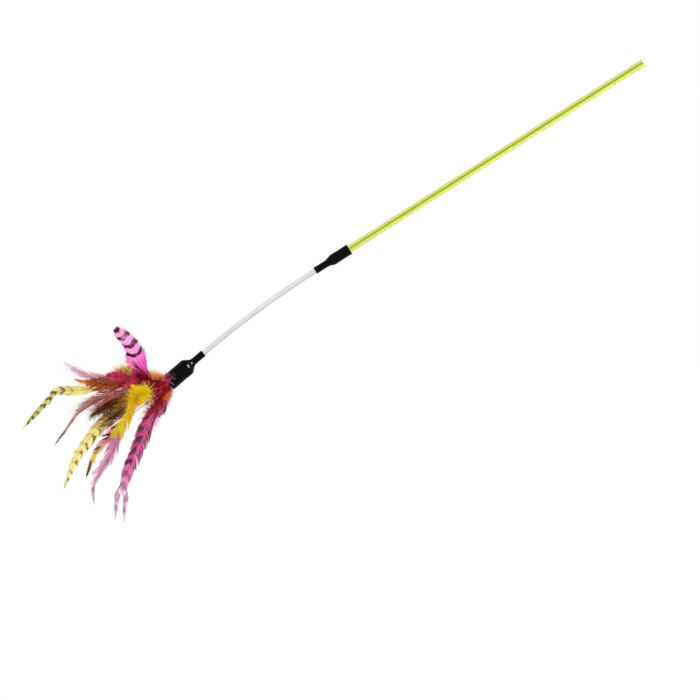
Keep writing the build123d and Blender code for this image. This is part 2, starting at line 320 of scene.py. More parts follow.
FEATHERS = (
    Feather(
        "golden", "golden_down", -0.17, 97, 23, TUFTED, (-15, -35),
        ((0.203, 0.051), (0.361, 0.094), (0.579, 0.035), (0.717, -0.011), (0.971, -0.037)),
        Vane(0.3, 0.8, (40, 20), 7, 4, 0.1, 0.24, 0.94),
        (Down(1000, (0.24, 0.42), 10.5, (30, 100), ROUND, GOLD_DOWN),
         Down(300, (0.34, 0.47), 11.0, (30, 80), FIRST_SIDE, GOLD_DOWN),
         Down(200, (0.4, 0.68), 9.0, TRAILING, ROUND, ((236, 180, 0), (255, 216, 0), (255, 234, 50))),
         Down(40, (0.32, 0.44), 26.0, (16, 34), (-70, 20),
              ((150, 110, 10), (206, 160, 20), (238, 204, 60))),
         root_down(300, 0.2, 7.0, MAROON_DOWN)),
        Dye(((0.0, (130, 20, 30)), (0.16, (250, 200, 0)), (0.45, (255, 208, 0)), (0.75, (255, 232, 30)),
             (0.96, (232, 198, 50))),
            (190, 120, 10), 8, 0.25, (0.55, 1.0), (0.1, 0.5), (255, 240, 80), 0.4, (200, 130, 30))),
    Feather(
        "crimson", "crimson_down", 0.42, 61, 23, PLUME, (0, -12),
        ((0.25, 0.23), (0.53, 0.5), (0.76, 0.66)),
        Vane(0.4, 0.5, (46, 20), 6, 6, 0.1, 0.07, 0.96),
        (root_down(400, 0.42, 10.0, MAROON_DOWN),
         Down(320, (0.28, 0.8), 11.0, SPREAD, ROUND, CRIMSON_DOWN),
         # Near-black strands facing the front: painted shade within the crimson down.
         Down(130, (0.3, 0.5), 8.0, (40, 90), (-130, -20), ((30, 0, 8), (66, 4, 18), (110, 8, 34))),
         Down(130, (0.7, 0.9), 9.0, (30, 80), (-140, -20),
              ((226, 40, 110), (240, 70, 140), (250, 120, 176))),
         Down(110, (0.03, 0.14), 13.0, (105, 150), (-130, 50),
              ((140, 12, 50), (214, 40, 110), (246, 140, 196))),
         Down(340, (0.06, 0.26), 9.5, (55, 100), (-80, 50), PEACH_DOWN),
         Down(240, (0.58, 0.8), 12.5, (60, 100), FIRST_SIDE, CREAM_DOWN)),
        Dye(((0.0, (96, 6, 30)), (0.25, (160, 12, 50)), (0.6, (222, 30, 96)), (1.0, (170, 16, 60))),
            (72, 4, 24), 5, 0.4, (0.1, 1.0), (0.8, 0.8), (240, 90, 150), 0.3, (90, 10, 40))),
    Feather(
        "striped", "striped_hackle", -0.34, 133, 10.5, HACKLE, (0, 50),
        ((0.39, 0.018), (0.531, -0.001), (0.673, -0.017), (0.797, -0.046), (0.973, -0.134)),
        LOOSE._replace(start=0.48),
        (root_down(200, 0.2, 7.0, MAROON_DOWN),),
        Dye(((0.0, (140, 84, 14)), (0.36, (190, 130, 24)), (0.44, (130, 24, 50)),
             (0.54, (206, 90, 120)), (0.68, (216, 124, 152)), (0.75, (238, 198, 96)),
             (0.86, (232, 180, 60)), (0.92, (84, 44, 20)), (1.0, (44, 22, 14))),
            (64, 14, 22), 8, 0.5, (0.42, 0.95), (1.0, 0.25), (252, 226, 150), 0.25, (80, 30, 26))),
    Feather(
        "magenta", "magenta_hackle", -0.83, 144, 14, HACKLE, (0, -30),
        ((0.175, -0.037), (0.395, -0.136), (0.587, -0.229), (0.72, -0.312), (0.875, -0.455)),
        CLOSE._replace(spacing=0.26, fork=(0.7, 0.82, 10.5)),
        (root_down(260, 0.2, 9.0, MAROON_DOWN),
         Down(380, (0.06, 0.26), 11.0, (30, 80), FIRST_SIDE, MAROON_DOWN),
         Down(160, (0.02, 0.09), 5.5, (35, 80), (-190, -70), ORANGE_DOWN),
         Down(200, (0.2, 0.72), 9.0, (16, 36), SECOND_SIDE, PINK_DOWN),
         # Bright pink strands facing the front: pink down that is partly a painted highlight.
         Down(60, (0.22, 0.34), 11.0, (6, 18), (-120, -60),
              ((226, 50, 140), (246, 90, 180), (252, 150, 212)))),
        Dye(((0.0, (84, 6, 30)), (0.18, (104, 6, 42)), (0.28, (190, 18, 100)), (0.46, (208, 30, 124)),
             (0.58, (226, 70, 156)), (0.7, (244, 146, 206)), (0.88, (242, 182, 214)),
             (1.0, (234, 200, 214))),
            (70, 2, 32), 12, 0.54, (0.24, 0.56), (1.0, 0.75), (252, 160, 214), 0.28, (110, 14, 50))),
    Feather(
        "wispy", "pink_hackle", -0.58, 142, 13, HACKLE, (0, 60),
        ((0.199, 0.013), (0.379, 0.012), (0.508, -0.039), (0.626, -0.099), (0.748, -0.138),
         (0.848, -0.194), (0.914, -0.278)),
        WISPY._replace(start=0.4),
        (root_down(180, 0.2, 7.0, MAROON_DOWN),
         Down(200, (0.34, 0.54), 22.0, (4, 30), (-90, 40),
              ((240, 150, 204), (250, 190, 226), (252, 226, 240))),
         Down(110, (0.5, 0.8), 16.0, (3, 16), ROUND, ((214, 120, 170), (236, 170, 204), (248, 216, 232)))),
        Dye(((0.0, (176, 40, 60)), (0.3, (254, 136, 212)), (0.6, (240, 154, 206)),
             (0.85, (212, 156, 180)), (1.0, (150, 136, 110))),
            (120, 40, 80), 9, 0.3, (0.5, 1.0), (0.5, 0.5), (252, 214, 238), 0.35, (160, 50, 110))),
    Feather(
        "yellow", "yellow_hackle", -0.2, 146, 13, HACKLE, (0, -25),
        ((0.31, 0.07), (0.567, 0.07), (0.776, 0.015), (0.96, -0.08)), CLOSE,
        (root_down(240, 0.3, 8.0, OLIVE_DOWN),
         Down(120, (0.3, 0.48), 13.0, (4, 14), SECOND_SIDE, DARK_DOWN)), YELLOW_DYE),
    Feather(
        "mauve", "mauve_hackle", 0.17, 129, 11, SLENDER, (0, 40),
        ((0.28, 0.143), (0.513, 0.25), (0.603, 0.258), (0.735, 0.231), (0.933, 0.183)), WISPY,
        (root_down(220, 0.4, 9.0, MAUVE_DOWN),
         Down(90, (0.4, 0.6), 24.0, (2, 12), ROUND, MAUVE_DOWN),
         Down(50, (0.55, 0.8), 14.0, TRAILING, ROUND, ((176, 120, 112), (220, 190, 190), (242, 230, 232)))),
        Dye(((0.0, (130, 36, 36)), (0.35, (160, 80, 68)), (0.65, (176, 106, 104)), (0.9, (120, 84, 88)),
             (1.0, (70, 52, 56))),
            (84, 42, 38), 9, 0.35, (0.3, 1.0), (0.6, 0.4), (220, 170, 160), 0.25, (86, 44, 46))),
    Feather(
        "red", "red_hackle", 0.88, 86, 20, PLUME, (0, -20),
        ((0.166, 0.095), (0.321, 0.241), (0.489, 0.355), (0.643, 0.486), (0.756, 0.639)), LOOSE,
        (root_down(320, 0.45, 9.5, ((110, 12, 24), (176, 30, 50), (214, 60, 80))),
         Down(150, (0.35, 0.75), 18.0, (3, 16), ROUND, ((96, 14, 16), (170, 24, 40), (220, 44, 80))),
         Down(120, (0.45, 0.8), 17.0, (2, 12), (-180, 0), ((206, 70, 6), (246, 150, 6), (255, 206, 40))),
         Down(100, (0.4, 0.75), 17.0, (2, 16), (-180, 0), ((40, 10, 8), (70, 22, 14), (110, 40, 24))),
         Down(280, (0.35, 0.75), 13.0, (25, 55), FIRST_SIDE, GREY_DOWN)),
        Dye(((0.0, (112, 10, 26)), (0.3, (190, 22, 58)), (0.6, (184, 36, 44)), (0.85, (180, 60, 40)),
             (1.0, (190, 96, 80))),
            (92, 16, 16), 8, 0.4, (0.2, 1.0), (0.7, 0.7), (255, 176, 40), 0.4, (100, 30, 24))),
    Feather(
        "drooping", "yellow_hackle", 0.51, 157, 13, KINKED, (0, -70),
        ((0.332, 0.214), (0.485, 0.335), (0.558, 0.382), (0.603, 0.382), (0.717, 0.37), (0.879, 0.347)),
        CLOSE._replace(start=0.38),
        (root_down(220, 0.3, 8.0, MAROON_DOWN),
         Down(24, (0.54, 0.58), 13.0, (2, 8), ROUND, ((150, 130, 70), (226, 212, 130), (250, 244, 190)))),
        Dye(((0.0, (150, 110, 20)), (0.3, (230, 210, 90)), (0.4, (244, 230, 130)),
             (0.62, (246, 236, 140)), (1.0, (232, 226, 116))),
            (50, 44, 22), 19, 0.4, (0.58, 1.0), (0.9, 0.9), (255, 253, 206), 0.3, (150, 136, 70))),
    Feather(
        "brown", "brown_hackle", 0.22, 85, 16, PLUME, (0, -35),
        ((0.31, 0.1), (0.62, 0.19), (0.96, 0.285)), LOOSE,
        (root_down(240, 0.5, 9.0, BROWN_DOWN),
         Down(520, (0.4, 0.86), 15.0, (25, 80), (-70, 60), BROWN_DOWN),
         Down(260, (0.6, 0.95), 10.0, (15, 45), ROUND, DARK_DOWN),
         Down(90, (0.6, 0.95), 13.0, (20, 50), SECOND_SIDE,
              ((150, 130, 84), (200, 190, 150), (236, 232, 214)))),
        Dye(((0.0, (84, 40, 14)), (0.4, (104, 58, 26)), (0.75, (66, 30, 18)), (1.0, (92, 70, 40))),
            (50, 24, 12), 5, 0.4, (0.2, 1.0), (0.7, 0.7), (186, 140, 70), 0.3, (70, 44, 18))),
    Feather(
        "upright", "pink_hackle", 0.71, 73, 20, BLUNT, (0, 25),
        ((0.141, 0.13), (0.144, 0.305), (0.079, 0.505), (0.046, 0.702), (0.066, 0.925)),
        Vane(0.28, 0.85, (50, 32), 10, 0.8, 0.1, 0.1, 0.955),
        (root_down(240, 0.25, 9.0, MAROON_DOWN),
         Down(60, (0.14, 0.3), 10.0, (70, 110), FIRST_SIDE, CREAM_DOWN)),
        Dye(((0.0, (140, 16, 66)), (0.13, (120, 10, 54)), (0.17, (130, 12, 60)), (0.21, (250, 66, 200)),
             (0.4, (244, 84, 200)), (0.56, (242, 152, 218)), (0.92, (240, 168, 212)),
             (0.955, (96, 8, 40))),
            (88, 6, 34), 7.2, 0.46, (0.5, 1.0), (0.95, 1.0), (255, 210, 240), 0.35, (226, 90, 180))),
    Feather(
        "pale", "pale_hackle", 0.3, 112, 12, HACKLE, (0, 60),
        ((0.28, 0.2), (0.516, 0.426), (0.6, 0.55), (0.662, 0.719)), WISPY,
        (root_down(220, 0.3, 9.0, CRIMSON_DOWN),
         Down(160, (0.26, 0.42), 15.0, (50, 90), FIRST_SIDE, CREAM_DOWN),
         Down(260, (0.5, 0.86), 16.0, (5, 26), ROUND, PALE_DOWN)),
        Dye(((0.0, (190, 50, 80)), (0.35, (214, 104, 140)), (0.6, (226, 160, 194)),
             (0.85, (234, 204, 218)), (1.0, (226, 212, 220))),
            (150, 60, 100), 8, 0.3, (0.4, 0.9), (0.6, 0.4), (250, 230, 242), 0.3, (180, 100, 130))),
    Feather(
        "soft", "magenta_hackle", -0.42, 52, 13, PLUME, (-10, -40),
        ((0.28, -0.1), (0.6, -0.2), (0.95, -0.3)), LOOSE,
        (root_down(300, 0.5, 8.0, ((76, 0, 12), (138, 4, 28), (196, 16, 62))),
         Down(200, (0.0, 0.2), 6.0, (30, 70), SECOND_SIDE, ORANGE_DOWN),
         Down(200, (0.05, 0.5), 7.5, (60, 110), SECOND_SIDE, PINK_DOWN),
         Down(300, (0.15, 0.95), 9.0, (40, 80), SECOND_SIDE, PINK_DOWN)),
        Dye(((0.0, (220, 80, 20)), (0.16, (150, 20, 40)), (0.4, (96, 6, 36)), (0.7, (180, 26, 92)),
             (1.0, (248, 124, 198))),
            (72, 4, 28), 5, 0.4, (0.3, 1.0), (0.8, 0.5), (250, 150, 208), 0.25, (150, 30, 80))),
    Feather(
        "back", "yellow_hackle", 0.08, 102, 13, HACKLE, (-20, -60),
        ((0.35, 0.1), (0.69, 0.12), (0.99, 0.04)), CLOSE,
        (root_down(240, 0.3, 9.0, OLIVE_DOWN),), YELLOW_DYE),
)


# How far blotches shift a vane's colours along it, how soft a bar's edge is, and how strong late bars are
DYE_SHIFT = 0.08
BAR_EDGE = 0.08
LATE_BARS = 0.6


def soft_light(finish, colour, roughness):
    """A feather's shading: it hardly shines."""
    finish.join(finish.shader, {
        "Base Color": colour,
        "Roughness": roughness,
        "Specular IOR Level": 0.04,
    })
    return finish.material


def feather_dye(row):
    """A dyed vane: ground colour from root to tip, bars along the barbs and streaks from barb to barb."""
    dye = row.dye
    finish = Finish(f"{row.name}_dye")
    vane, along, across = finish.vane()
    blotch = finish.noise(finish.stretched(vane, (9, 2.5, 1)), 1.0, 2.0)
    streak = finish.noise(finish.stretched(vane, (row.length * 1.3, 1.2, 1)), 1.0, 2.0, 0.6)
    shifted = finish.math("MULTIPLY_ADD", blotch, DYE_SHIFT)
    shifted.node.inputs[2].default_value = -DYE_SHIFT / 2
    place = finish.math("ADD", along, shifted)
    ground = finish.ramp(place, [(stop, linear(*colour)) for stop, colour in dye.ground])
    slivers = finish.step(streak, 0.52, 0.68, 0.0, dye.sliver_share)
    colour = finish.mix(slivers, ground, linear(*dye.sliver))
    shade = finish.step(streak, 0.3, 0.5, 0.8, 1.0)
    colour = finish.mix(1.0, colour, shade, "MULTIPLY")
    wave = finish.math("PINGPONG", finish.math("MULTIPLY", place, dye.bar_count), 0.5)
    bars = finish.step(wave, dye.bar_share / 2 + BAR_EDGE, dye.bar_share / 2 - BAR_EDGE)
    start, end = dye.bar_span
    first, second = dye.bar_sides
    fades = [
        finish.step(along, start - 0.04, start + 0.04),
        finish.step(along, end, end + 0.1, 1.0, LATE_BARS),
        finish.step(across, 0.35, 0.65, second, first),
        finish.step(blotch, 0.3, 0.5, 0.4, 1.0),
    ]
    for fade in fades:
        bars = finish.math("MULTIPLY", bars, fade)
    colour = finish.mix(bars, colour, linear(*dye.bar))
    return soft_light(finish, colour, finish.step(streak, 0.3, 0.7, 0.5, 0.7))


def down_dye(name, colours):
    """Dyed down: each barb has a shade of its own and is paler towards its tip."""
    finish = Finish(name)
    _, shade, along = finish.vane()
    last = len(colours) - 1
    ground = finish.ramp(shade, [(k / last, linear(*colour)) for k, colour in enumerate(colours)])
    colour = finish.mix(finish.step(along, 0.4, 1.0, 0.0, 0.35), ground, linear(*colours[-1]))
    return soft_light(finish, colour, finish.step(shade, 0.0, 1.0, 0.5, 0.7))


def pick(values, places):
    """Values given evenly along a line, read at places from 0 to 1."""
    at = np.clip(places, 0, 1) * (len(values) - 1)
    low = np.minimum(at.astype(int), len(values) - 2)
    part = (at - low)[:, None]
    return values[low] * (1 - part) + values[low + 1] * part


def unit(vectors):
    """Vectors brought to length one."""
    return vectors / np.maximum(np.linalg.norm(vectors, axis=-1, keepdims=True), 1e-9)


def smooth_line(points, count):
    """An even line of points on a smooth curve through the given ones."""
    steps = np.linalg.norm(np.diff(points, axis=0), axis=1)
    knots = np.concatenate(([0], np.cumsum(steps)))
    system, right = np.eye(len(points)), np.zeros_like(points)
    for k in range(1, len(points) - 1):
        before, after = steps[k - 1], steps[k]
        system[k, k - 1:k + 2] = before, 2 * (before + after), after
        right[k] = 6 * ((points[k + 1] - points[k]) / after - (points[k] - points[k - 1]) / before)
    bends = np.linalg.solve(system, right)
    at = np.linspace(0, knots[-1], count)
    k = np.clip(np.searchsorted(knots, at, side="right") - 1, 0, len(steps) - 1)
    step = steps[k][:, None]
    left = (knots[k + 1] - at)[:, None] / step
    past = 1 - left
    curve = ((left ** 3 - left) * bends[k] + (past ** 3 - past) * bends[k + 1]) * step ** 2 / 6
    return left * points[k] + past * points[k + 1] + curve


QUILL_STEPS = 300


class Quill:
    """A feather's shaft line, with the directions along it, across its vane and up from it."""

    def __init__(self, page, row):
        depth = SEAT_RADIUS * PAGE_DEPTH_SHARE * (page - MIDDLE_PAGE) / MIDDLE_PAGE
        tilt = radians(PAGE_TILT * (page - MIDDLE_PAGE))
        forward = np.array(lure_forward * cos(tilt) + Vector((0, sin(tilt), 0)))
        lift = np.array(lure_lift)
        sideways = np.cross(forward, lift)
        root = mouth + lure_forward * PIVOT_HEIGHT + lure_lift * (SEAT_RADIUS * row.lift)
        root += Vector((0, depth, 0))
        route = np.array(((0.0, 0.0), *row.route))
        route *= row.length / np.linalg.norm(np.diff(route, axis=0), axis=1).sum()
        line = smooth_line(route, QUILL_STEPS)
        way = unit(np.gradient(line, axis=0))
        self.points = np.array(root) + line[:, :1] * forward + line[:, 1:] * lift
        self.along = way[:, :1] * forward + way[:, 1:] * lift
        level = way[:, :1] * lift - way[:, 1:] * forward
        roll = np.radians(np.linspace(*row.roll, len(line)))[:, None]
        self.across = level * np.cos(roll) + sideways * np.sin(roll)
        self.upright = np.cross(self.along, self.across)
        self.row = row
        stations = [(0.0, 2 * QUILL_RADIUS), (VANE_START, 2 * QUILL_RADIUS)]
        rest = 1 - VANE_START
        stations += [(VANE_START + place * rest, share * row.width) for place, share in row.shape]
        self.stations = np.array([*stations, (1.0, TIP_WIDTH)])

    def at(self, places):
        """The shaft's points and its three directions at the given places."""
        return [pick(values, places) for values in (self.points, self.along, self.across, self.upright)]

    def half_width(self, places):
        """Half the vane's width at the given places."""
        return np.interp(places, *self.stations.T) / 2


# A bundle of strands: their centre lines, the way their flat sides face, their widths and their Vane places
Strands = namedtuple("Strands", "lines facing widths marks")
FIRST_SEED = 40
SMOOTH_ANGLE = radians(35)
BARB_SIDES, BARB_CUTS, BARB_FLATNESS = 3, 5, 0.3
SHAFT_SIDES, SHAFT_CUTS, SHAFT_FLATNESS = 6, 60, 0.85
# A shaft's widths at places along it, and how deep it goes into the glue
SHAFT_WIDTHS = (0, 0.1, 0.4, 1), (1.15, 1.1, 0.62, 0.2)
SHAFT_DEPTH = 2.0
# Barbs: unevenness as a share of their spacing, stray in degrees, spread of reach, taper, length of the
# closing tip, reach on a fork, and how a ragged clump pulls its barbs together
BARB_JITTER = 0.25
BARB_STRAY = 2
REACH_SPREAD = 0.05
BARB_TAPER = 0.5
TIP_LENGTH = 6
FORK_REACH = 0.9
CLUMP_PULL, MOST_PULL = 0.08, 0.5
# How far a bar goes straight across instead of along the barbs
BAR_SLANT = 0.45
# Down: width, taper, spread of lengths, and how it waves and curls as shares of its length
DOWN_WIDTH = 0.36
DOWN_TAPER = 0.6
DOWN_LENGTHS = (0.6, 1.05)
DOWN_WAVE, DOWN_WAVES, DOWN_CURL = 0.1, 7, 0.3
# Where the barbs end and the shaft lies on the bake's map
BARB_MAP_TOP = 0.97
SHAFT_MAP_ROW, SHAFT_MAP_HEIGHT = 0.98, 0.015
SHAFT_MAP_START, SHAFT_MAP_LENGTH = 0.01, 0.97
BARB_MAP_ROWS = 3


def fork_opening(vane, place):
    """How far each branch of a forked feather is from the middle."""
    opens, full, apart = vane.fork
    share = np.clip((place - opens) / (full - opens), 0, 1)
    return apart / 2 * share * share * (3 - 2 * share)


def vane_barbs(quill, random):
    """The barbs on both sides of a shaft, in clumps that part from each other here and there."""
    row, vane = quill.row, quill.row.vane
    count = int((vane.end - vane.start) * row.length / vane.spacing)
    place = np.tile(np.linspace(vane.start, vane.end, count), 2)
    place += random.normal(0, BARB_JITTER * vane.spacing / row.length, 2 * count)
    side = np.repeat((1.0, -1.0), count)
    clump = np.cumsum(random.random(2 * count) < 1 / vane.clump)
    clumps = clump[-1] + 1
    sizes = np.maximum(np.bincount(clump, minlength=clumps), 1)
    middle = (np.bincount(clump, place, minlength=clumps) / sizes)[clump]

    def stray():
        """An angle for each barb: its clump's and a little of its own."""
        shared = random.normal(0, vane.ragged, clumps)[clump]
        return np.radians(shared + random.normal(0, BARB_STRAY, 2 * count))

    lean, rise = stray(), stray()
    reach = random.normal(1.0, REACH_SPREAD, clumps)[clump] * random.normal(1.0, REACH_SPREAD, 2 * count)
    closing = np.interp(place, (vane.end - TIP_LENGTH / row.length, vane.end), (1.0, 0.1))
    forked = place > vane.fork[0]
    branch = np.where(forked, random.choice((1.0, -1.0), 2 * count), side)
    root_sweep = (np.radians(vane.sweep[0]) + 0.4 * lean) * closing
    tip_sweep = (np.radians(vane.sweep[1]) + lean) * closing
    mean_sweep = np.radians(sum(vane.sweep) / 2)
    ahead = np.minimum(place + quill.half_width(place) / tan(mean_sweep) / row.length, vane.end)
    length = (quill.half_width(ahead) / sin(mean_sweep) + 0.5) * reach * np.where(forked, FORK_REACH, 1.0)
    length = np.minimum(length, ((1 - place) * row.length + 1.0) / np.cos(mean_sweep * closing))
    q = np.linspace(0, 1, BARB_CUTS + 1)
    sweep = root_sweep[:, None] + (tip_sweep - root_sweep)[:, None] * (q[1:] + q[:-1]) / 2
    step = length[:, None] / BARB_CUTS
    zero = np.zeros((2 * count, 1))
    forth = np.hstack((zero, np.cumsum(np.cos(sweep) * step, axis=1)))
    pull = min(CLUMP_PULL * vane.ragged, MOST_PULL)
    forth += ((middle - place) * row.length * pull)[:, None] * q ** 2
    out = np.hstack((zero, np.cumsum(np.sin(sweep) * step, axis=1))) * branch[:, None]
    out += (side * fork_opening(vane, place))[:, None]
    up = length[:, None] * (rise[:, None] * q - vane.droop * q ** 2)
    point, along, across, upright = [v[:, None, :] for v in quill.at(place)]
    lines = point + forth[..., None] * along + out[..., None] * across + up[..., None] * upright
    widths = vane.barb * (1 - BARB_TAPER * q ** 2) * np.ones((2 * count, 1))
    across_share = 0.5 + 0.5 * branch[:, None] * q
    marks = np.stack((place[:, None] + BAR_SLANT * forth / row.length, across_share), axis=-1)
    return Strands(lines, upright[:, 0], widths, marks)


def down_barbs(quill, down, random):
    """A tuft of soft curly barbs that stand round the shaft."""
    place = random.uniform(*down.span, down.count)
    turn = np.radians(random.uniform(*down.around, down.count))[:, None]
    lean = np.radians(random.uniform(*down.lean, down.count))[:, None]
    length = (down.length * random.uniform(*DOWN_LENGTHS, down.count))[:, None]
    point, along, across, upright = quill.at(place)
    outward = across * np.cos(turn) + upright * np.sin(turn)
    way = along * np.cos(lean) + outward * np.sin(lean)
    curl = unit(random.normal(0, 1, (down.count, 3)))
    phase = random.uniform(0, 2 * pi, (down.count, 1))
    q = np.linspace(0, 1, BARB_CUTS + 1)
    wave = DOWN_WAVE * length * (np.sin(DOWN_WAVES * q + phase) - np.sin(phase))
    wave = wave + DOWN_CURL * length * q ** 2
    lines = point[:, None] + (length * q)[..., None] * way[:, None] + wave[..., None] * curl[:, None]
    widths = DOWN_WIDTH * (1 - DOWN_TAPER * q) * np.ones((down.count, 1))
    shade = random.random((down.count, 1))
    marks = np.stack((shade + 0 * q, 0 * shade + q), axis=-1)
    return Strands(lines, unit(np.cross(way, curl)), widths, marks)


def shaft(quill):
    """The shaft from its seat in the glue to near the tip, with both branches of a fork."""
    vane = quill.row.vane
    places = np.linspace(0, vane.end, SHAFT_CUTS)
    points, _, across, upright = quill.at(places)
    sides = np.array((1.0, -1.0))[:1 + (vane.fork[2] > 0), None, None]
    branches = points + sides * fork_opening(vane, places)[:, None] * across
    seat = np.broadcast_to(points[:1] - SHAFT_DEPTH * np.array(lure_forward), (len(sides), 1, 3))
    lines = np.concatenate((seat, branches), axis=1)
    widths = np.interp(np.linspace(0, 1, SHAFT_CUTS + 1), *SHAFT_WIDTHS)
    marks = np.stack((np.concatenate(([0], places)), np.full(SHAFT_CUTS + 1, 0.5)), axis=-1)
    count = len(sides)
    facing, widths, marks = [values.repeat(count, 0) for values in (upright[:1], widths[None], marks[None])]
    return Strands(lines, facing, widths, marks)


# A strand as modelled: each point's place across and its ring along the strand, and the faces
Model = namedtuple("Model", "across ring faces")


def model_strand(sides, cuts):
    """One strand, modelled once: a slim rod cut across at even places, which its copies bend and taper."""
    bpy.ops.mesh.primitive_cylinder_add(vertices=sides, radius=0.5, depth=1, location=(0, 0, 0))
    rod = bpy.context.object
    bpy.ops.object.mode_set(mode="EDIT")
    for cut in range(1, cuts):
        bpy.ops.mesh.select_all(action="SELECT")
        bpy.ops.mesh.bisect(plane_co=(0, 0, cut / cuts - 0.5), plane_no=(0, 0, 1))
    bpy.ops.object.mode_set(mode="OBJECT")
    points = np.array([v.co for v in rod.data.vertices])
    faces = [list(face.vertices) for face in rod.data.polygons]
    bpy.data.objects.remove(rod)
    return Model(points[:, :2], np.rint((points[:, 2] + 0.5) * cuts).astype(int), faces)


def lay(model, strands, flatness):
    """Copies of a modelled strand, each bent along its own line: their points, faces and marks."""
    way = unit(np.gradient(strands.lines, axis=1))
    sideways = unit(np.cross(strands.facing[:, None], way))
    top = np.cross(way, sideways)
    x, y = (model.across * (1, flatness)).T
    width = strands.widths[:, model.ring][..., None]
    points = strands.lines[:, model.ring]
    points = points + width * (x[:, None] * sideways[:, model.ring] + y[:, None] * top[:, model.ring])
    size = len(model.ring)
    faces = [[v + k * size for v in face] for k in range(len(points)) for face in model.faces]
    return points.reshape(-1, 3), faces, strands.marks[:, model.ring].reshape(-1, 2)


def bake_places(model, count):
    """Each strand's place on the bake's map: side by side in rows, so that none is under a pixel wide."""
    columns = -(-count // BARB_MAP_ROWS)
    k = np.arange(count)[:, None]
    x = (k % columns + 0.1 + 0.8 * (model.across[:, 0] + 0.5)) / columns
    y = (k // columns + 0.04 + 0.92 * model.ring / model.ring.max()) / BARB_MAP_ROWS
    return np.stack((x, y * BARB_MAP_TOP), axis=-1).reshape(-1, 2)


def add_map(mesh, name, places):
    """A UV map from a place for each point."""
    layer = mesh.uv_layers.new(name=name)
    corners = np.empty(len(mesh.loops), int)
    mesh.loops.foreach_get("vertex_index", corners)
    layer.data.foreach_set("uv", places[corners].astype(np.float32).ravel())


def make_feather(page, row, barb, rod):
    """One feather: shaft, vane and down in one mesh, curving out from the cap."""
    random = np.random.default_rng(FIRST_SEED + page)
    quill = Quill(page, row)
    bundles = [vane_barbs(quill, random), *[down_barbs(quill, down, random) for down in row.downs]]
    barbs = Strands(*[np.concatenate(parts) for parts in zip(*bundles)])
    points, faces, marks = lay(barb, barbs, BARB_FLATNESS)
    shaft_points, shaft_faces, shaft_marks = lay(rod, shaft(quill), SHAFT_FLATNESS)
    offset = len(points)
    faces += [[v + offset for v in face] for face in shaft_faces]
    counts = [*[len(bundle.lines) * len(barb.faces) for bundle in bundles], len(shaft_faces)]
    finishes = [feather_dye(row)]
    finishes += [down_dye(f"{row.name}_down_{k}", down.colours) for k, down in enumerate(row.downs)]
    finishes.append(quill_horn(f"{row.name}_shaft", linear(*row.dye.shaft)))
    places = bake_places(barb, len(barbs.lines))
    shaft_sides = np.tile(rod.across[:, 0], len(shaft_marks) // len(rod.ring)) + 0.5
    shaft_columns = SHAFT_MAP_START + SHAFT_MAP_LENGTH * shaft_marks[:, 0]
    shaft_places = np.column_stack((shaft_columns, SHAFT_MAP_ROW + SHAFT_MAP_HEIGHT * shaft_sides))
    mesh = bpy.data.meshes.new(f"{row.name}_plume")
    mesh.from_pydata((np.vstack((points, shaft_points)) * MM).tolist(), [], faces)
    mesh.polygons.foreach_set("material_index", np.repeat(np.arange(len(counts)), counts).astype(np.int32))
    add_map(mesh, "Vane", np.vstack((marks, shaft_marks)))
    add_map(mesh, "OFBake", np.vstack((places, shaft_places)))
    for finish in finishes:
        mesh.materials.append(finish)
    piece = bpy.data.objects.new(f"{row.name}_plume", mesh)
    bpy.context.collection.objects.link(piece)
    bpy.context.view_layer.objects.active = piece
    piece.select_set(True)
    bpy.ops.object.shade_smooth_by_angle(angle=SMOOTH_ANGLE)
    piece.select_set(False)
    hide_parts(f"{row.name}_feather")
    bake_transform(piece)


ROD_SIDES = 96
SHELL_SIDES = 72
BUTT_STEPS = 6
# The stem's curve: steps round and along it, and its handles as shares of the way to the next point
STEM_ROUNDNESS, STEM_STEPS = 10, 14
HINGE_HANDLE, END_HANDLE, HELD_HANDLE = 2 / 3, 0.5, 0.3
WELD = 0.001


def select_faces(piece, chosen):
    """Selects a piece's faces by their centre and normal, in edit mode."""
    bpy.ops.mesh.select_all(action="DESELECT")
    bpy.ops.object.mode_set(mode="OBJECT")
    for face in piece.data.polygons:
        face.select = chosen(face.center, face.normal)
    bpy.ops.object.mode_set(mode="EDIT")


def extrude(length):
    """Extrudes what is selected along Z."""
    bpy.ops.mesh.extrude_region_move(TRANSFORM_OT_translate={"value": (0, 0, length * MM)})


def finish_piece(piece, name, material, origin, axis):
    """Stands a piece that was modelled along Z at its place along an axis, and names it."""
    turn = Vector((0, 0, 1)).rotation_difference(axis).to_matrix().to_4x4()
    piece.matrix_world = Matrix.Translation(Vector(origin) * MM) @ turn
    bpy.ops.object.transform_apply(location=True, rotation=True, scale=True)
    bpy.ops.object.shade_smooth_by_angle(angle=SMOOTH_ANGLE)
    piece.name = name
    piece.data.name = name
    piece.data.materials.clear()
    piece.data.materials.append(material)
    piece.select_set(False)
    return piece


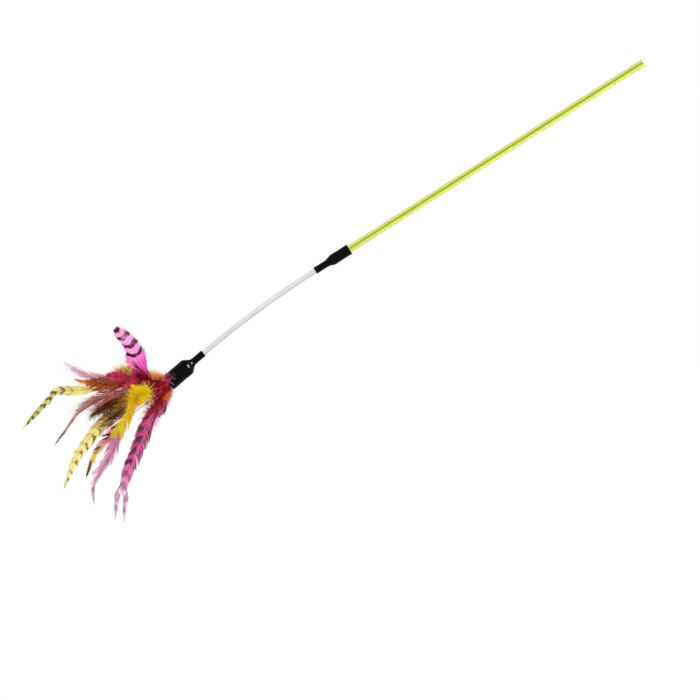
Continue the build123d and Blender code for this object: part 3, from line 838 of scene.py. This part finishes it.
def make_rod():
    """The clear rod: a rounded butt, a spigot under the sleeve and a socket for the stem."""
    length = BUTT_X - SHOULDER_X
    bpy.ops.mesh.primitive_cylinder_add(vertices=ROD_SIDES, radius=ROD_RADIUS * MM, depth=length * MM)
    rod = bpy.context.object
    bpy.ops.object.mode_set(mode="EDIT")
    bpy.ops.mesh.select_mode(type="FACE")
    select_faces(rod, lambda centre, normal: normal.z < -0.9)
    bpy.ops.mesh.inset(thickness=(ROD_RADIUS - SPIGOT_RADIUS) * MM)
    extrude(ROD_FRONT_X - SHOULDER_X)
    bpy.ops.mesh.inset(thickness=(SPIGOT_RADIUS - BORE_RADIUS) * MM)
    extrude(SOCKET_X - ROD_FRONT_X)
    select_faces(rod, lambda centre, normal: normal.z > 0.9 and centre.z > 0)
    bpy.ops.mesh.bevel(offset=BUTT_ROUND * MM, segments=BUTT_STEPS, affect="EDGES")
    bpy.ops.object.mode_set(mode="OBJECT")
    middle = ((BUTT_X + SHOULDER_X) / 2, 0, 0)
    rod = finish_piece(rod, "clear_rod", tinted_acrylic(), middle, Vector((1, 0, 0)))
    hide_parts("handle_rod")
    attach(rod, "handle")


def turn_shell(outline):
    """A hollow turned piece along Z: a ring extruded round a closed outline of (place, radius) points."""
    place, radius = outline[0]
    bpy.ops.mesh.primitive_circle_add(vertices=SHELL_SIDES, radius=radius * MM, location=(0, 0, 0))
    shell = bpy.context.object
    bpy.ops.object.mode_set(mode="EDIT")
    bpy.ops.mesh.select_mode(type="EDGE")
    bpy.ops.mesh.select_all(action="SELECT")
    for next_place, next_radius in outline[1:]:
        extrude(next_place - place)
        bpy.ops.transform.resize(value=(next_radius / radius, next_radius / radius, 1))
        place, radius = next_place, next_radius
    bpy.ops.mesh.select_all(action="SELECT")
    bpy.ops.mesh.region_to_loop()
    bpy.ops.mesh.bridge_edge_loops()
    bpy.ops.mesh.select_all(action="SELECT")
    bpy.ops.mesh.normals_make_consistent(inside=False)
    bpy.ops.object.mode_set(mode="OBJECT")
    return shell


def eased(start, end, count):
    """(place, radius) points that go over softly from one to the other, both ends left out."""
    points = []
    for k in range(1, count + 1):
        share = k / (count + 1)
        soft = share * share * (3 - 2 * share)
        points.append((start[0] + (end[0] - start[0]) * share, start[1] + (end[1] - start[1]) * soft))
    return points


def make_sleeve():
    """The black sleeve, shrunk tight: it swells a little over the rod's end and hugs the stem."""
    wide, taper = SHOULDER_X - ROD_FRONT_X, SHOULDER_X - ROD_FRONT_X + SLEEVE_TAPER
    end = SHOULDER_X - SLEEVE_END_X
    swell, neck = (wide - 1.0, SLEEVE_WIDE), (taper + 1.5, SLEEVE_NECK - 0.12)
    outline = [
        (0.0, SPIGOT_RADIUS + SHRINK_FIT),
        (0.0, SLEEVE_WIDE - 0.5), (0.12, SLEEVE_WIDE - 0.2), (0.5, SLEEVE_WIDE),
        (3.0, SLEEVE_WIDE - 0.1), (8.0, SLEEVE_WIDE - 0.16), (13.0, SLEEVE_WIDE - 0.1), swell,
        *eased(swell, neck, 8), neck,
        (end - 5.0, SLEEVE_NECK - 0.1), (end - 1.2, SLEEVE_NECK), (end - 0.2, SLEEVE_NECK - 0.1),
        (end, SLEEVE_NECK - 0.3), (end, BORE_RADIUS),
        (wide, BORE_RADIUS), (wide, SPIGOT_RADIUS + SHRINK_FIT),
    ]
    sleeve = turn_shell(outline)
    sleeve = finish_piece(sleeve, "black_sleeve", rubber, (SHOULDER_X, 0, 0), Vector((-1, 0, 0)))
    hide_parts("joint_sleeve")
    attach(sleeve, "handle")


def make_cap():
    """The black cap: a tight neck, a round shoulder, a body with a slight waist and a rolled mouth."""
    shoulder, body = CAP_NECK, CAP_NECK + CAP_SHOULDER
    outline = [
        (0.0, BORE_RADIUS),
        (0.0, CAP_NECK_RADIUS - 0.3), (0.2, CAP_NECK_RADIUS - 0.1), (1.0, CAP_NECK_RADIUS),
        (5.0, CAP_NECK_RADIUS - 0.1), (9.0, CAP_NECK_RADIUS - 0.12),
        (shoulder - 1.5, CAP_NECK_RADIUS + 0.05),
        *eased((shoulder - 1.5, CAP_NECK_RADIUS + 0.05), (body - 0.6, CAP_RADIUS - 0.05), 10),
        (body - 0.6, CAP_RADIUS - 0.05),
        (body + 2.0, CAP_RADIUS), (body + 8.0, CAP_RADIUS - 0.15), (body + 15.0, CAP_RADIUS - 0.12),
        (cap_length - 2.0, CAP_RADIUS - 0.02), (cap_length - 0.6, CAP_RADIUS - 0.05),
        (cap_length - 0.15, CAP_RADIUS - 0.3), (cap_length, CAP_RADIUS - 0.65),
        (cap_length, CAVITY_RADIUS), (body + CAP_WALL, CAVITY_RADIUS), (shoulder + CAP_WALL, BORE_RADIUS),
    ]
    cap = turn_shell(outline)
    cap = finish_piece(cap, "black_cap", rubber, neck_start, lure_forward)
    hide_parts("lure_cap")
    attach(cap, "lure")


def make_stem_piece(number, material):
    """A smooth piece of the stem that bends across one hinge. The end ones run on into rod and cap."""
    start, hinge, end = middles[number], hinges[number], middles[number + 1]
    line = [(start, start + (start - hinge) * END_HANDLE, start + (hinge - start) * HINGE_HANDLE),
            (end, end + (hinge - end) * HINGE_HANDLE, end + (end - hinge) * END_HANDLE)]
    if number == 0:
        socket = Vector((SOCKET_X, 0, 0))
        line.insert(0, (socket, socket, socket + (start - socket) * HELD_HANDLE))
    if number == HINGE_COUNT - 1:
        held = neck_start + lure_forward * (CAP_NECK + STEM_IN_CAP)
        line.append((held, held + (end - held) * HELD_HANDLE, held))
    bpy.ops.curve.primitive_bezier_curve_add(location=(0, 0, 0))
    curve = bpy.context.object
    spline = curve.data.splines[0]
    spline.bezier_points.add(len(line) - 2)
    for knot, (place, before, after) in zip(spline.bezier_points, line):
        knot.handle_left_type = knot.handle_right_type = "FREE"
        knot.co, knot.handle_left, knot.handle_right = place * MM, before * MM, after * MM
    curve.data.dimensions = "3D"
    curve.data.bevel_depth = STEM_RADIUS * MM
    curve.data.bevel_resolution = STEM_ROUNDNESS
    curve.data.resolution_u = curve.data.render_resolution_u = STEM_STEPS
    curve.data.use_fill_caps = True
    bpy.ops.object.convert(target="MESH")
    piece = bpy.context.object
    bpy.ops.object.mode_set(mode="EDIT")
    bpy.ops.mesh.select_all(action="SELECT")
    bpy.ops.mesh.remove_doubles(threshold=WELD * MM)
    bpy.ops.mesh.normals_make_consistent(inside=False)
    bpy.ops.object.mode_set(mode="OBJECT")
    piece = finish_piece(piece, f"stem_piece_{number + 1}", material, (0, 0, 0), Vector((0, 0, 1)))
    nodes = [f"stem_section_{number + 1}"]
    if number == HINGE_COUNT - 1:
        nodes.append(f"stem_section_{number + 2}")
    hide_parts(*nodes)
    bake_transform(piece)


def dress_nodes():
    """The glue and the quill roots keep their own solids, with finer finishes."""
    finishes = {"glue_plug": hot_glue(), "quill_roots": quill_horn("quill_root", linear(226, 208, 160))}
    for name, material in finishes.items():
        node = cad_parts[name]
        node.data.materials.clear()
        node.data.materials.append(material)


def seen_rays(tree):
    """One for the rays that show a surface as it looks: from the camera, or by way of gloss or glass."""
    path = tree.nodes.new("ShaderNodeLightPath")
    seen = path.outputs["Is Camera Ray"]
    for name in ("Is Glossy Ray", "Is Transmission Ray"):
        either = tree.nodes.new("ShaderNodeMath")
        either.operation = "MAXIMUM"
        tree.links.new(seen, either.inputs[0])
        tree.links.new(path.outputs[name], either.inputs[1])
        seen = either.outputs[0]
    return seen


def make_floor():
    """A plain pale floor that looks white and keeps the wand's shadow."""
    bpy.ops.mesh.primitive_plane_add(size=FLOOR_SIDE * MM, location=(FLOOR_X * MM, 0, FLOOR_Z * MM))
    floor = bpy.context.object
    floor.name = "floor"
    finish = Finish("pale_floor")
    finish.join(finish.shader, {
        "Base Color": (0.86, 0.86, 0.86, 1),
        "Roughness": 0.9,
        "Specular IOR Level": 0.0,
        "Emission Color": (1, 1, 1, 1),
        "Emission Strength": finish.math("MULTIPLY", seen_rays(finish.tree), 0.3),
    })
    floor.data.materials.append(finish.material)


ROOM_LIGHT, ROOM_WHITE = 0.6, 1.0


def make_world():
    """Even white light all round, seen as plain white."""
    world = bpy.data.worlds.new("white_room")
    bpy.context.scene.world = world
    world.use_nodes = True
    nodes, links = world.node_tree.nodes, world.node_tree.links
    strength = nodes.new("ShaderNodeMapRange")
    strength.inputs["To Min"].default_value = ROOM_LIGHT
    strength.inputs["To Max"].default_value = ROOM_WHITE
    links.new(seen_rays(world.node_tree), strength.inputs["Value"])
    background = nodes["Background"]
    background.inputs["Color"].default_value = (1, 1, 1, 1)
    links.new(strength.outputs["Result"], background.inputs["Strength"])


def make_light(name, place, aim, size, power, through):
    """A lamp with an oblong face, aimed at a point. It shows through the clear rod, or else in gloss."""
    bpy.ops.object.light_add(type="AREA", location=place)
    lamp = bpy.context.object
    lamp.name = name
    lamp.data.shape = "RECTANGLE"
    lamp.data.size, lamp.data.size_y = size
    lamp.data.energy = power
    lamp.rotation_euler = (Vector(aim) - Vector(place)).to_track_quat("-Z", "Y").to_euler()
    lamp.visible_camera = False
    lamp.visible_transmission = through
    lamp.visible_glossy = not through
    lamp.visible_diffuse = through


def make_sun(name, aim, angle, strength):
    """Broad, even light from one side."""
    bpy.ops.object.light_add(type="SUN", location=(0, 0, 2))
    lamp = bpy.context.object
    lamp.name = name
    lamp.data.angle = radians(angle)
    lamp.data.energy = strength
    lamp.visible_glossy = False
    lamp.rotation_euler = Vector(aim).to_track_quat("-Z", "Y").to_euler()


def make_camera():
    """The photograph's view: level, from the near side, turned so that the rod rises to the right."""
    slope = radians(ROD_SLOPE)
    right, up = Vector((cos(slope), 0, -sin(slope))), Vector((sin(slope), 0, cos(slope)))
    half = PICTURE_SIDE / 2
    centre = right * (half - GRIP_PIXEL[0]) + up * (GRIP_PIXEL[1] - half)
    centre *= MM_PER_PIXEL * MM
    distance = PICTURE_SIDE * MM_PER_PIXEL * MM * LENS / SENSOR
    bpy.ops.object.camera_add(location=centre + Vector((0, -distance, 0)))
    camera = bpy.context.object
    camera.rotation_euler = Matrix((right, up, (0, -1, 0))).transposed().to_euler()
    camera.data.lens = LENS
    camera.data.sensor_width = SENSOR
    camera.data.clip_end = FAR_CLIP * MM
    bpy.context.scene.camera = camera


make_camera()
make_world()
make_floor()
make_sun("key_sun", aim=(0.25, 0.92, -0.42), angle=30, strength=2.2)
make_light("glint_lamp", (0.61, -0.64, 0.1), (-0.49, 0, -0.03), size=(0.4, 0.85), power=135, through=False)
make_light("back_lamp", (-0.15, 1.2, 0.6), (-0.15, 0, 0), size=(1.8, 1.0), power=5.9, through=True)
make_light("low_lamp", (-0.15, 0.75, -0.4), (-0.15, 0, 0), size=(1.5, 0.36), power=1.9, through=True)
bpy.context.scene.view_settings.view_transform = "Standard"

rubber = black_rubber()
make_rod()
make_sleeve()
milky = milky_stem()
for number in range(HINGE_COUNT):
    make_stem_piece(number, milky)
make_cap()
dress_nodes()
barb_model = model_strand(BARB_SIDES, BARB_CUTS)
shaft_model = model_strand(SHAFT_SIDES, SHAFT_CUTS)
for page, row in enumerate(FEATHERS):
    make_feather(page, row, barb_model, shaft_model)

bpy.context.view_layer.update()
